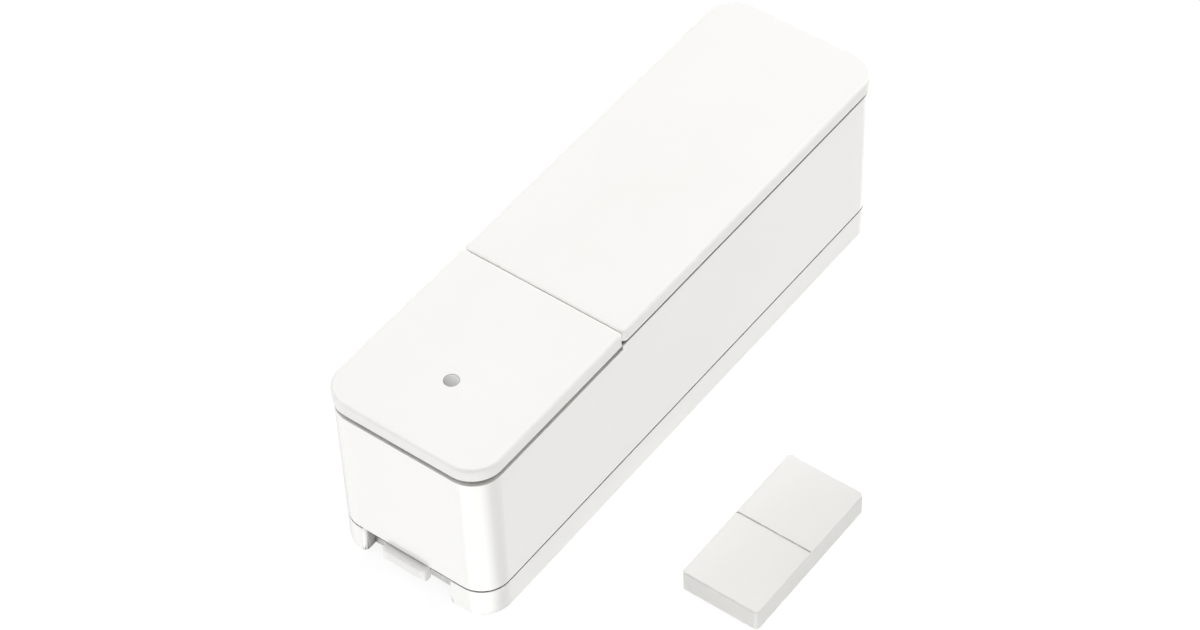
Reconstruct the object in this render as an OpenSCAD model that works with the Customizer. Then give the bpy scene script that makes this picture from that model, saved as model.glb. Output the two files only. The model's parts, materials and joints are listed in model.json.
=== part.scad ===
// Door contact sensor: a battery-powered sensor block that unclips from its wall plate,
// and the small magnet block that rides on the door beside it.
// Millimetres. Origin at the centre of the wall plate's back face, +Z away from the wall,
// +Y along the sensor away from its push button, +X towards the magnet.

/* [Sensor block] */
// Width over the two top covers
cap_w = 25; // [24.6:0.1:27]
// Length over the two top covers
cap_l = 85.5; // [85.2:0.1:95]
// Height from the wall to the top face
total_h = 28.1; // [28:0.1:31]
// Corner radius of the covers in plan
cap_r = 4.3; // [4:0.1:5.2]
// How far the covers stand out past the housing walls
overhang = 0.18; // [0.1:0.01:0.3]
// Rounding of the covers' top edges
edge_r = 0.35; // [0.2:0.05:0.6]
// Corner radius of the covers where they meet each other
split_r = 0.7; // [0.5:0.05:1]
// Wall thickness of the housing
wall = 1.5; // [1.3:0.1:1.7]
// Width of the fine seam between the housing and the wall plate
seam = 0.3; // [0.2:0.02:0.34]

/* [Push button] */
// Length of the push button cover
button_l = 28.75; // [27:0.25:31]
// Height of the fixed cover's skirt
cover_skirt = 1.75; // [1.6:0.05:1.9]
// Shadow gap between the fixed cover's skirt and the wall under it
cover_gap = 0.7; // [0.5:0.05:0.8]
// Height of the button's skirt
button_skirt = 1.95; // [1.8:0.05:2]
// Shadow gap between the button's skirt and the wall under it
button_gap = 1.15; // [1:0.05:1.15]
// Travel of the button
button_travel = 0.3; // [0.2:0.02:0.34]
// Gap between the button and the fixed cover
split_gap = 0.12; // [0.1:0.02:0.3]
// Diameter of the status light window
lens_d = 2.1; // [1.8:0.1:2.6]
// Distance from the button's free end to the status light
lens_inset = 10.65; // [9:0.05:12]

/* [Wall plate] */
// Height of the wall plate's rim
plate_h = 4.3; // [4:0.1:5]
// Width of the notch at the button end
notch_w = 13.4; // [12:0.2:15]
// Depth of the notch
notch_d = 1.85; // [1.6:0.05:2.2]
// How far the notch and the release tab sit off the middle, along X
latch_x = -0.8; // [-1:0.05:1]
// Width of the release tab
tab_w = 6.9; // [6:0.1:8]
// How far the release tab stands out
tab_out = 0.9; // [0.8:0.1:1.4]
// How far the release tab is pushed in
latch_travel = 0.8; // [0.6:0.05:0.9]
// Distance between the two wall screw holes
screw_pitch = 54; // [48:1:56]
// Diameter of the wall screw holes
screw_d = 3.4; // [3:0.1:4]

/* [Magnet block] */
// Width of the magnet block
magnet_w = 11.5; // [10:0.1:14]
// Length of the magnet block
magnet_l = 23.4; // [20:0.1:28]
// Height of the magnet block
magnet_h = 3.3; // [3.2:0.1:5]
// Distance from the sensor's middle to the magnet's middle
magnet_x = 33.9; // [28:0.1:45]

/* [Hidden] */
$fn = 64;
eps = 0.01;

// Running clearance round sliding pieces, and the thin gap between pieces that are fixed together
run_gap = 0.3;
fit_gap = 0.05;

// Outline of the housing and of its inside
body_w = cap_w - 2 * overhang;
body_l = cap_l - 2 * overhang;
body_r = cap_r - overhang;
inner_w = body_w - 2 * wall;
inner_l = body_l - 2 * wall;
inner_r = body_r - wall;
front_y = -body_l / 2;

// The line that parts the button from the fixed cover
split_y = -cap_l / 2 + button_l;

// Heights
wall_top = total_h - cover_skirt - cover_gap;
button_wall_top = total_h - button_skirt - button_gap;
deck_top = 24.35;
deck_t = 0.7;
deck_bottom = deck_top - deck_t;
board_z = 21.3;
board_t = 1;
board_top = board_z + board_t;
web_t = 0.9;
web_z = board_z - web_t;
floor_t = 1.8;

// Status light, switch and battery
lens_y = -cap_l / 2 + lens_inset;
led_h = 0.8;
switch_y = lens_y + 7.6;
switch_w = 6;
switch_h = 1.9;
bezel_t = 0.2;
plunger_d = 3.2;
plunger_top = board_top + switch_h + 0.7;
battery_d = 17;
battery_l = 34.5;
battery_y = 0.5;
battery_z = 11.6;
sleeve_t = 0.2;
terminal_l = 0.8;
terminal_d = 6.5;
can_l = battery_l - terminal_l;
can_t = 0.3;
strip_t = 0.4;
// The cell's two end walls in the chassis
end_wall_t = 1.2;
near_wall_y = battery_y - 1.9 - end_wall_t;
far_wall_y = battery_y + battery_l + strip_t + 0.1;

// Chassis and its screws
chassis_w = inner_w - 0.5;
side_t = 1;
side_z = plate_h + 1.9;
side_y0 = -35.5;
side_y1 = 38.5;
chassis_screw_x = 7.8;
chassis_screw_ys = [-38, 39];
chassis_screw_d = 1.8;
chassis_screw_l = 3.4;
boss_d = 3.8;

// Board outline
board_w = chassis_w - 0.6;
board_y0 = -39.8;
board_y1 = 36.6;

// Clips under the two top covers
clip_x = inner_w / 2 - 1.6;
clip_t = 0.8;
clip_l = 3.6;
clip_barb = 0.4;
clip_tip = 22.85;
cover_clip_ys = [-6, 14, 32];
button_clip_ys = [-33.5, -20];
clip_slot_t = clip_t + clip_barb + 2 * run_gap;

// Wall plate details
pad_t = 0.8;
pad_w = 17;
pad_l = 17;
pad_y = 12;
lip_t = 1;
lip_h = 1.4;
lip_l = 30;
mouth_r = 0.6;
sill_h = 1.2;
tab_h = 2.25;
tab_z = plate_h - seam / 2 - tab_h;
stem_w = 5;
stem_h = 1.2;
nose_l = 1;
latch_wall_y = front_y + notch_d;
latch_y = latch_wall_y + wall + run_gap;

// Reed switch
reed_d = 2;
reed_l = 14;
reed_x = 7.6;
reed_z = board_z - 1.5;
reed_lead_r = 0.25;
reed_lead_l = 3;

// Magnet block details
magnet_y = split_y + 1.5;
magnet_r = 0.6;
magnet_wall = 0.9;
magnet_top_t = 0.8;
magnet_edge_r = 0.2;
groove_w = 0.35;
groove_d = 0.3;

// ---- Shared outlines ----

// Rectangle with round corners
module round_rect(w, l, r) {
    square([w - 2 * r, l], center = true);
    square([w, l - 2 * r], center = true);
    for (sx = [-1, 1], sy = [-1, 1])
        translate([sx * (w / 2 - r), sy * (l / 2 - r)]) circle(r);
}

// Upright block with round corners, standing on z = 0
module round_block(w, l, h, r) {
    linear_extrude(h) round_rect(w, l, r);
}

// Block standing on z = 0, centred in plan
module block(w, l, h) {
    translate([-w / 2, -l / 2, 0]) cube([w, l, h]);
}

// Section across a plate whose top edges are rounded
module edge_section(w, h, f) {
    translate([-w / 2, 0]) square([w, h - f]);
    translate([-w / 2 + f, 0]) square([w - 2 * f, h]);
    for (s = [-1, 1]) translate([s * (w / 2 - f), h - f]) circle(f);
}

// Plate from y0 to y1 with a rounded top edge all the way round, and corners of r0 and r1 at its two ends
module soft_plate(w, y0, y1, h, r0, r1, f) {
    translate([0, y1 - r1, 0]) rotate([90, 0, 0]) linear_extrude(y1 - r1 - y0 - r0) edge_section(w, h, f);
    soft_end(w, y0, 1, h, r0, f);
    soft_end(w, y1, -1, h, r1, f);
}

// One end of a soft plate, from y inwards: side is 1 where the plate runs towards +Y
module soft_end(w, y, side, h, r, f) {
    translate([0, y + side * r, 0]) {
        for (s = [-1, 1]) translate([s * (w / 2 - r), 0, 0]) rotate_extrude() {
            square([r, h - f]);
            square([r - f, h]);
            translate([r - f, h - f]) circle(f);
        }
        rotate([90, 0, 90]) linear_extrude(w - 2 * r, center = true) edge_section(2 * r, h, f);
    }
}

// The part of an outline on one side of the line that parts the covers, gap away from it
module button_side(gap) {
    intersection() {
        children();
        translate([-cap_w, split_y - gap - cap_l, 0]) cube([2 * cap_w, cap_l, total_h]);
    }
}

module cover_side(gap) {
    intersection() {
        children();
        translate([-cap_w, split_y + gap, 0]) cube([2 * cap_w, cap_l, total_h]);
    }
}

// A spring clip that hangs from a cover, with its barb pointing outwards
module clip(top) {
    translate([-clip_t / 2, -clip_l / 2, clip_tip]) cube([clip_t, clip_l, top - clip_tip]);
    barb_top = deck_bottom - fit_gap;
    translate([clip_t / 2, clip_l / 2, 0]) rotate([90, 0, 0]) linear_extrude(clip_l)
        polygon([[-eps, clip_tip], [-eps, barb_top], [clip_barb, barb_top], [clip_barb, barb_top - 0.3]]);
}

module clips(ys, top) {
    for (y = ys) {
        translate([clip_x, y, 0]) clip(top);
        translate([-clip_x, y, 0]) mirror([1, 0, 0]) clip(top);
    }
}

module clip_slots(ys) {
    for (y = ys, s = [-1, 1])
        translate([s * (clip_x + clip_barb / 2), y, deck_bottom - eps])
            block(clip_slot_t, clip_l + 2 * run_gap, deck_t + 2 * eps);
}

module at_chassis_screws() {
    for (y = chassis_screw_ys, s = [-1, 1]) translate([s * chassis_screw_x, y, 0]) children();
}

// ---- Wall plate ----

module plate_notch() {
    translate([latch_x, front_y, -eps]) linear_extrude(plate_h + 2 * eps) {
        translate([-notch_w / 2, -eps]) square([notch_w, notch_d + eps]);
        // Rounded upright edges at the mouth
        for (s = [-1, 1]) difference() {
            translate([s * notch_w / 2, mouth_r / 2 - eps]) square([2 * mouth_r, mouth_r], center = true);
            translate([s * (notch_w / 2 + mouth_r), mouth_r]) circle(mouth_r);
        }
    }
}

module plate_ribs() {
    for (y = [-18, 0, 18, 36]) translate([0, y, floor_t - eps]) block(inner_w + eps, 1, 0.8);
    for (s = [-1, 1]) translate([s * 6.5, 4, floor_t - eps]) block(1, 66, 0.8);
}

module plate_lips() {
    lip_x = inner_w / 2 - 0.15 - lip_t / 2;
    for (s = [-1, 1], y = [-17, 21])
        translate([s * lip_x, y, floor_t]) block(lip_t, lip_l, plate_h - floor_t + lip_h);
}

module plate_screw_holes() {
    for (s = [-1, 1]) translate([0, s * screw_pitch / 2, 0]) {
        translate([0, 0, -eps]) cylinder(d = screw_d, h = plate_h);
        translate([0, 0, floor_t - 1]) cylinder(d1 = screw_d, d2 = screw_d + 2.2, h = 1.1);
    }
}

module mounting_plate() {
    color("white") difference() {
        union() {
            difference() {
                round_block(body_w, body_l, plate_h, body_r);
                translate([0, 0, floor_t]) round_block(inner_w, inner_l, plate_h, inner_r);
            }
            // Walls round the notch
            translate([latch_x, front_y + (notch_d + 1.5 * wall) / 2, 0])
                block(notch_w + 2 * wall, notch_d + wall / 2, plate_h);
            plate_ribs();
            plate_lips();
            for (s = [-1, 1]) translate([0, s * screw_pitch / 2, 0]) cylinder(d = screw_d + 4, h = floor_t + 0.3);
        }
        plate_notch();
        plate_screw_holes();
        // The notch is open to the plate's inside above a low sill, and the latch's stem slides over the sill
        translate([latch_x, latch_wall_y + wall / 2, sill_h])
            block(notch_w, wall + 2 * eps, plate_h);
        for (s = [-1, 1]) translate([0, s * pad_y, -eps]) block(pad_w + 0.1, pad_l + 0.1, pad_t + eps);
    }
}

module plate_adhesive_pads() {
    color("lightgray") for (s = [-1, 1]) translate([0, s * pad_y, 0]) block(pad_w, pad_l, pad_t);
}

// Tab outside, stem through the plate's window and hook inside, moulded as one piece
module release_latch() {
    tab_l = tab_out + notch_d - latch_travel - run_gap;
    tab_front = front_y - tab_out;
    hook_top = plate_h + 2.6;
    color("white") translate([latch_x, 0, 0]) {
        difference() {
            translate([0, 0, tab_z]) soft_plate(tab_w, tab_front, tab_front + tab_l, tab_h, 0.8, 0.4, 0.25);
            // Sloped underside at the lip
            translate([-tab_w, tab_front - eps, tab_z - eps]) rotate([90, 0, 90])
                linear_extrude(2 * tab_w) polygon([[0, 0], [0.5, 0], [0, 0.5]]);
        }
        translate([0, (tab_front + tab_l + latch_y) / 2, tab_z + 0.4])
            block(stem_w, latch_y - tab_front - tab_l + 2 * eps, stem_h);
        translate([0, latch_y + 0.6, floor_t + 0.1]) block(9, 1.2, hook_top - floor_t - 0.1);
        // Nose that reaches over the housing's ledge
        translate([0, latch_y - nose_l / 2, plate_h + 1.6]) block(stem_w, nose_l + 2 * eps, 1);
    }
}

// ---- Housing ----

module housing_outside() {
    difference() {
        union() {
            translate([0, 0, plate_h + seam]) round_block(body_w, body_l, wall_top - plate_h - seam, body_r);
            // Narrow foot that leaves the seam above the wall plate
            translate([0, 0, plate_h]) round_block(body_w - 0.8, body_l - 0.8, seam + eps, body_r - 0.4);
        }
        // The wall is lower under the button
        button_side(0) translate([0, 0, button_wall_top]) round_block(cap_w, cap_l, total_h, cap_r);
    }
}

module deck_openings() {
    clip_slots(cover_clip_ys);
    clip_slots(button_clip_ys);
    translate([0, lens_y, deck_bottom - eps]) cylinder(d = lens_d + 2, h = deck_t + 2 * eps);
    translate([0, switch_y, deck_bottom - eps]) round_block(switch_w + 1, switch_w + 1, deck_t + 2 * eps, 0.8);
}

module chassis_screw_pilots() {
    pilot_d = chassis_screw_d + 0.04;
    at_chassis_screws() translate([0, 0, board_z - eps]) cylinder(d = pilot_d, h = deck_top - board_z - 0.3);
}

// Bosses under the deck: the front pair stands on the board, the rear pair on the chassis
module chassis_screw_bosses() {
    difference() {
        for (y = chassis_screw_ys, s = [-1, 1]) {
            foot = y < board_y1 ? board_top : board_z;
            translate([s * chassis_screw_x, y, foot + fit_gap]) cylinder(d = boss_d, h = deck_bottom - foot);
        }
        chassis_screw_pilots();
    }
}

module housing_shell() {
    color("white") {
        difference() {
            housing_outside();
            translate([0, 0, plate_h - eps])
                round_block(inner_w, inner_l, deck_bottom - plate_h + eps, inner_r);
            translate([0, 0, deck_top]) round_block(inner_w, inner_l, total_h, inner_r);
            deck_openings();
            chassis_screw_pilots();
        }
        chassis_screw_bosses();
        // Ledge that the latch's nose holds
        ledge_y = front_y + wall - 0.1;
        ledge_l = latch_y - nose_l - run_gap - 0.05 - ledge_y;
        translate([latch_x, ledge_y + ledge_l / 2, plate_h + 0.3]) block(stem_w + 1, ledge_l, 0.8);
    }
}

module rear_cover() {
    skirt_z = total_h - cover_skirt;
    color("white") {
        difference() {
            translate([0, 0, skirt_z])
                soft_plate(cap_w, split_y + split_gap / 2, cap_l / 2, cover_skirt, split_r, cap_r, edge_r);
            // Shallow pocket under the top
            cover_side(2) translate([0, 0, skirt_z - eps]) round_block(inner_w - 2, inner_l - 2, 0.45, inner_r - 1);
        }
        // Rim that plugs into the housing and lands on its deck
        rim_z = deck_top + fit_gap;
        cover_side(split_gap / 2 + 0.6) difference() {
            translate([0, 0, rim_z]) round_block(inner_w - 0.1, inner_l - 0.1, skirt_z - rim_z + eps, inner_r);
            translate([0, 0, deck_top]) round_block(inner_w - 2, inner_l - 2, cover_skirt + 1.3, inner_r - 1);
        }
        clips(cover_clip_ys, skirt_z + 0.6);
    }
}

// ---- Push button ----

module button_cap() {
    collar_z = button_wall_top - 0.3;
    collar_w = inner_w - 2 * run_gap;
    collar_l = inner_l - 2 * run_gap;
    collar_r = inner_r - run_gap;
    skirt_z = total_h - button_skirt;
    color("white") difference() {
        union() {
            difference() {
                translate([0, 0, skirt_z])
                    soft_plate(cap_w, -cap_l / 2, split_y - split_gap / 2, button_skirt, cap_r, split_r, edge_r);
                button_side(2) translate([0, 0, skirt_z - eps]) round_block(collar_w - 2, collar_l - 2, 0.65, collar_r - 1);
            }
            // Collar that guides the button inside the housing wall
            button_side(1) translate([0, 0, collar_z]) difference() {
                round_block(collar_w, collar_l, skirt_z - collar_z + eps, collar_r);
                translate([0, 0, -eps]) round_block(collar_w - 2, collar_l - 2, button_skirt, collar_r - 1);
            }
            // Post that presses the switch
            translate([0, switch_y, plunger_top + fit_gap]) cylinder(d = 2.6, h = total_h - plunger_top - 1);
            // Sleeve round the light guide
            translate([0, lens_y, deck_top + 0.5]) cylinder(d = lens_d + 1.8, h = total_h - deck_top - 1);
            clips(button_clip_ys, skirt_z + 0.8);
        }
        translate([0, lens_y, deck_top]) cylinder(d = lens_d, h = total_h);
    }
}

// Light pipe from the lamp on the board to a gently domed window in the button
module light_guide() {
    guide_d = lens_d - 0.06;
    guide_z = board_top + led_h + button_travel + 0.25;
    dome_h = 0.08;
    dome_r = (pow(guide_d / 2, 2) + pow(dome_h, 2)) / (2 * dome_h);
    color("silver") translate([0, lens_y, 0]) {
        intersection() {
            translate([0, 0, guide_z]) cylinder(d = guide_d, h = total_h - guide_z);
            translate([0, 0, total_h - dome_r]) sphere(dome_r);
        }
        // Flange under the sleeve
        translate([0, 0, deck_top + 0.35 - fit_gap]) cylinder(d = lens_d + 0.6, h = 0.15);
    }
}

// ---- Inside the housing ----

module chassis_side_walls() {
    for (s = [-1, 1]) translate([s * (chassis_w - side_t) / 2, (side_y0 + side_y1) / 2, side_z])
        block(side_t, side_y1 - side_y0, web_z - side_z + eps);
}

module battery_end_walls() {
    for (y = [near_wall_y, far_wall_y])
        translate([0, y + end_wall_t / 2, side_z]) block(chassis_w, end_wall_t, web_z - side_z + eps);
}

module battery_saddles() {
    for (y = [8, 18, 28]) translate([0, y, 13]) block(chassis_w, 1.2, web_z - 13 + eps);
}

module chassis() {
    color("whitesmoke") difference() {
        union() {
            translate([0, 0, web_z]) round_block(chassis_w, inner_l - 0.5, web_t, inner_r - 0.25);
            chassis_side_walls();
            battery_end_walls();
            battery_saddles();
        }
        // Bed of the cell
        translate([0, battery_y - 0.1, battery_z]) rotate([-90, 0, 0])
            cylinder(d = battery_d + 0.3, h = battery_l + 0.2);
        // Window under the front of the board
        translate([0, near_wall_y - 0.5 - 31 / 2, web_z - eps]) block(18, 31, web_t + 2 * eps);
        // Slots for the battery contacts' tabs
        for (y = [near_wall_y + end_wall_t + strip_t / 2 + 0.05, far_wall_y - strip_t / 2 - 0.05])
            translate([0, y, web_z - eps]) block(4.6, strip_t + 0.1, web_t + 2 * eps);
        at_chassis_screws() translate([0, 0, web_z - eps]) cylinder(d = chassis_screw_d + 0.3, h = web_t + 2 * eps);
    }
}

module chassis_screws() {
    color("silver") at_chassis_screws() {
        translate([0, 0, web_z - fit_gap]) cylinder(d = chassis_screw_d, h = chassis_screw_l);
        translate([0, 0, web_z - 1.1]) difference() {
            cylinder(d = 3.2, h = 1.1 - fit_gap);
            // Cross recess
            for (a = [0, 90]) rotate([0, 0, a]) translate([0, 0, -eps]) block(1.9, 0.45, 0.6);
        }
    }
}

module circuit_board() {
    color("green") difference() {
        translate([0, (board_y0 + board_y1) / 2, board_z]) round_block(board_w, board_y1 - board_y0, board_t - fit_gap, 1);
        at_chassis_screws() translate([0, 0, board_z - eps]) cylinder(d = chassis_screw_d + 0.4, h = board_t + 2 * eps);
    }
}

// A block soldered to the board's top face
module on_board(x, y, w, l, h) {
    translate([x, y, board_top - fit_gap + eps]) block(w, l, h);
}

module radio_shield() {
    color("silver") difference() {
        on_board(0, 1, 12.6, 13.4, 1.3);
        on_board(0, 1, 12.2, 13, 1.1);
    }
}

module processor_chip() {
    color("dimgray") on_board(0, 1, 7, 7, 0.85);
}

module board_capacitors() {
    color("tan") {
        for (i = [0:5]) on_board(-6 + 2.4 * i, -12.2, 1, 1.9, 0.8);
        for (i = [0:3]) on_board(-3.6 + 2.4 * i, 13, 1.2, 2, 0.9);
    }
}

module chip_antenna() {
    color("ivory") on_board(0, 31.5, 9, 3, 1.1);
}

module status_led() {
    color("lightyellow") on_board(0, lens_y, 2, 1.3, led_h);
}

module switch_body() {
    color("dimgray") difference() {
        translate([0, switch_y, 0]) on_board(0, 0, switch_w, switch_w, switch_h);
        translate([0, switch_y, board_top + 0.5]) cylinder(d = plunger_d + 2 * 0.15, h = switch_h);
    }
}

module switch_bezel() {
    bezel_z = board_top - fit_gap + eps + switch_h + eps;
    color("silver") translate([0, switch_y, bezel_z]) difference() {
        round_block(switch_w, switch_w, bezel_t, 0.3);
        translate([0, 0, -eps]) cylinder(d = plunger_d + 2 * 0.15, h = bezel_t + 2 * eps);
    }
}

module switch_plunger() {
    plunger_z = board_top + 0.5 + button_travel + 0.1;
    color("saddlebrown") translate([0, switch_y, plunger_z]) cylinder(d = plunger_d, h = plunger_top - plunger_z);
}

module reed_glass() {
    color("lightcyan") translate([reed_x, split_y, reed_z]) rotate([90, 0, 0]) {
        cylinder(d = reed_d, h = reed_l - reed_d, center = true);
        for (s = [-1, 1]) translate([0, 0, s * (reed_l / 2 - reed_d / 2)]) sphere(d = reed_d);
    }
}

// The two leads leave the glass along its axis and turn up to the board
module reed_leads() {
    color("silver") for (s = [-1, 1]) translate([reed_x, split_y + s * reed_l / 2, reed_z]) {
        rotate([-90 * s, 0, 0]) cylinder(r = reed_lead_r, h = reed_lead_l);
        translate([0, s * reed_lead_l, 0]) {
            sphere(r = reed_lead_r);
            cylinder(r = reed_lead_r, h = board_z - reed_z - eps);
        }
    }
}

// ---- Battery ----

module along_battery(y) {
    translate([0, y, battery_z]) rotate([-90, 0, 0]) children();
}

module battery_can() {
    can_d = battery_d - 2 * sleeve_t;
    color("silver") along_battery(battery_y) difference() {
        cylinder(d = can_d, h = can_l);
        translate([0, 0, can_t]) cylinder(d = can_d - 2 * can_t, h = can_l - 2 * can_t);
    }
}

// The wound electrodes sealed inside the can
module battery_core() {
    color("dimgray") along_battery(battery_y + can_t + eps)
        cylinder(d = battery_d - 2 * (sleeve_t + can_t + eps), h = can_l - 2 * (can_t + eps));
}

module battery_sleeve() {
    color("steelblue") along_battery(battery_y + 0.4) difference() {
        cylinder(d = battery_d, h = can_l - 0.8);
        translate([0, 0, -eps]) cylinder(d = battery_d - 2 * sleeve_t + 0.02, h = can_l);
    }
}

module battery_terminal() {
    color("gainsboro") along_battery(battery_y + can_l) cylinder(d = terminal_d, h = terminal_l - eps);
}

module battery_positive_contact() {
    color("gold") translate([-2.2, far_wall_y - strip_t - 0.05, 6.6]) cube([4.4, strip_t, board_z - 6.6 - eps]);
}

// A flat strip against the end wall with a bowed leaf that presses on the can
module battery_spring_contact() {
    leaf_r = 10.3;
    leaf_t = 0.35;
    leaf_top = 5.2;
    strip_y = near_wall_y + end_wall_t + 0.05;
    color("gold") {
        translate([-2.2, strip_y, 6]) cube([4.4, strip_t, board_z - 6 - eps]);
        translate([-2.2, 0, battery_z]) rotate([90, 0, 90]) linear_extrude(4.4) intersection() {
            translate([battery_y - 0.05 - leaf_r, 0]) difference() {
                circle(leaf_r);
                circle(leaf_r - leaf_t);
            }
            translate([strip_y + strip_t - 0.1, -leaf_top]) square([3, 2 * leaf_top]);
        }
    }
}

// ---- Magnet block ----

module at_magnet() {
    translate([magnet_x, magnet_y, 0]) children();
}

module magnet_case() {
    color("white") at_magnet() difference() {
        soft_plate(magnet_w, -magnet_l / 2, magnet_l / 2, magnet_h, magnet_r, magnet_r, magnet_edge_r);
        translate([0, 0, -eps])
            block(magnet_w - 2 * magnet_wall, magnet_l - 2 * magnet_wall, magnet_h - magnet_top_t);
        // Line across the top that is set level with the sensor's split line
        translate([0, 0, magnet_h - groove_d]) block(magnet_w - 2 * magnet_edge_r, groove_w, 2 * groove_d);
    }
}

module magnet_base() {
    inside_w = magnet_w - 2 * magnet_wall - 2 * fit_gap;
    inside_l = magnet_l - 2 * magnet_wall - 2 * fit_gap;
    color("white") at_magnet() difference() {
        block(inside_w, inside_l, 1.2);
        translate([0, 0, -eps]) block(inside_w - 1.4, inside_l - 1.4, 0.6);
    }
}

module bar_magnet() {
    color("dimgray") at_magnet() translate([0, 0, 1.25]) block(7.6, 18, 1.1);
}

module magnet_adhesive_pad() {
    color("lightgray") at_magnet() block(magnet_w - 2 * magnet_wall - 1.6, magnet_l - 2 * magnet_wall - 1.6, 0.55);
}

mounting_plate();
plate_adhesive_pads();
release_latch();
housing_shell();
rear_cover();
chassis();
chassis_screws();
circuit_board();
radio_shield();
processor_chip();
board_capacitors();
chip_antenna();
status_led();
switch_body();
switch_bezel();
switch_plunger();
reed_glass();
reed_leads();
battery_can();
battery_core();
battery_sleeve();
battery_terminal();
battery_positive_contact();
battery_spring_contact();
button_cap();
light_guide();
magnet_case();
magnet_base();
bar_magnet();
magnet_adhesive_pad();
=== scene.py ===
import json
import math

import bmesh
import bpy
from mathutils import Matrix, Vector, noise


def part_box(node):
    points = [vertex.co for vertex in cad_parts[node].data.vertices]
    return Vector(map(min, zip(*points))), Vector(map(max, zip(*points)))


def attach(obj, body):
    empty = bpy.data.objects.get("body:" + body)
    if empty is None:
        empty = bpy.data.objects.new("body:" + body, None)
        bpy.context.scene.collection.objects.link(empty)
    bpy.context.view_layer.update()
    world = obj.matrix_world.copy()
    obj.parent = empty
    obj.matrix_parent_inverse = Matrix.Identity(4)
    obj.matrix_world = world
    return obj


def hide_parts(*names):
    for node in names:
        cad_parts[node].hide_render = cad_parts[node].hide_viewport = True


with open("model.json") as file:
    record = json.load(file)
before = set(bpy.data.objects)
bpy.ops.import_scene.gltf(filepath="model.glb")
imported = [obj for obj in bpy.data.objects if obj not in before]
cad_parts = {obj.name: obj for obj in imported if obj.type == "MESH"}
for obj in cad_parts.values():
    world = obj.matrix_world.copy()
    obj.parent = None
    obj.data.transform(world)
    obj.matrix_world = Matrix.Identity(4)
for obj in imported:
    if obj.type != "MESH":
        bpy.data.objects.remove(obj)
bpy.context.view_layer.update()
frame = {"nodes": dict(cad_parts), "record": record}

MM = 0.001
scene = bpy.context.scene
bodies = frame["record"]["behaviour"]["bodies"]
body_of_node = {node: body for body, nodes in bodies.items() for node in nodes}


# ---- Colour and node helpers ----

def colour(hex_code):
    """Linear colour with full alpha from an sRGB hex code."""
    channels = [int(hex_code[i:i + 2], 16) / 255 for i in (1, 3, 5)]
    linear = [c / 12.92 if c <= 0.04045 else ((c + 0.055) / 1.055) ** 2.4 for c in channels]
    return (*linear, 1.0)


def add(tree, kind, inputs=None, ramp=(), **settings):
    """Adds a node. An input takes a number, a colour, a socket or another node's first output."""
    node = tree.nodes.new(kind)
    for name, value in settings.items():
        setattr(node, name, value)
    for name, value in (inputs or {}).items():
        if isinstance(value, bpy.types.Node):
            value = value.outputs[0]
        if isinstance(value, bpy.types.NodeSocket):
            tree.links.new(value, node.inputs[name])
        else:
            node.inputs[name].default_value = value
    for index, (place, hex_code) in enumerate(ramp):
        stops = node.color_ramp.elements
        stop = stops[index] if index < 2 else stops.new(place)
        stop.position = place
        stop.color = colour(hex_code)
    return node


def new_material(name):
    """An empty material and its node tree."""
    material = bpy.data.materials.new(name)
    material.use_nodes = True
    tree = material.node_tree
    tree.nodes.clear()
    return material, tree


def per_metre(feature_mm):
    """Noise scale that gives features of this size in millimetres."""
    return 1 / (feature_mm * MM)


# ---- Materials of the outer shells ----

# How strongly ABS bends light
ABS_IOR = 1.53


def shell_plastic(name, light, dark, crevice_painted_shade, roughness, grain_mm, grain_depth_mm,
                  reach_mm=2.0, open_at=0.5, sheen=0.5):
    """White ABS whose tint drifts slowly with the melt's flow, with painted shade in its narrow joints."""
    material, tree = new_material(name)
    place = add(tree, "ShaderNodeTexCoord").outputs["Object"]
    flow = add(tree, "ShaderNodeTexNoise", {"Vector": place, "Scale": per_metre(18), "Detail": 3.0})
    tint = add(tree, "ShaderNodeValToRGB", {"Fac": flow}, ramp=((0.3, dark), (0.7, light)))
    # Painted shade: darker where the shells around leave less than the open share of the view outwards
    shelter = add(tree, "ShaderNodeAmbientOcclusion", {"Distance": reach_mm * MM}, samples=8)
    stops = ((0.6 * open_at, crevice_painted_shade), (open_at, "#FFFFFF"))
    shade = add(tree, "ShaderNodeValToRGB", {"Fac": shelter.outputs["AO"]}, ramp=stops)
    layers = {"Fac": 1.0, "Color1": tint, "Color2": shade}
    tone = add(tree, "ShaderNodeMixRGB", layers, blend_type="MULTIPLY")
    grain = add(tree, "ShaderNodeTexNoise", {"Vector": place, "Scale": per_metre(grain_mm), "Detail": 3.0})
    relief = add(tree, "ShaderNodeBump", {"Height": grain, "Strength": 1.0, "Distance": grain_depth_mm * MM})
    shine = add(tree, "ShaderNodeMapRange",
                {"Value": grain, "To Min": roughness - 0.04, "To Max": roughness + 0.04})
    sockets = {"Base Color": tone, "Roughness": shine, "Normal": relief, "IOR": ABS_IOR}
    sockets["Specular IOR Level"] = sheen
    shader = add(tree, "ShaderNodeBsdfPrincipled", sockets)
    add(tree, "ShaderNodeOutputMaterial", {"Surface": shader})
    return material


def spark_eroded_abs():
    """White ABS from a fine spark-eroded mould: an even matt top with a barely visible grain.

    The real grain is about 0.06 mm, which is too fine to show, so it is drawn at 0.3 mm.
    """
    # Only a faint painted shade darkens its narrow joints
    return shell_plastic("spark_eroded_abs", light="#F7F6F4", dark="#F5F4F1", crevice_painted_shade="#EFEEEB",
                         roughness=0.5, grain_mm=0.3, grain_depth_mm=0.004, sheen=0.3)


def grey_white_abs():
    """The magnet block's ABS comes from another batch: the same matt grain, one shade greyer."""
    # Only a very faint painted shade darkens its narrow joints
    return shell_plastic("grey_white_abs", light="#ECEBE8", dark="#E9E8E4", crevice_painted_shade="#F9F8F6",
                         roughness=0.5, grain_mm=0.3, grain_depth_mm=0.004, sheen=0.3)


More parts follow.
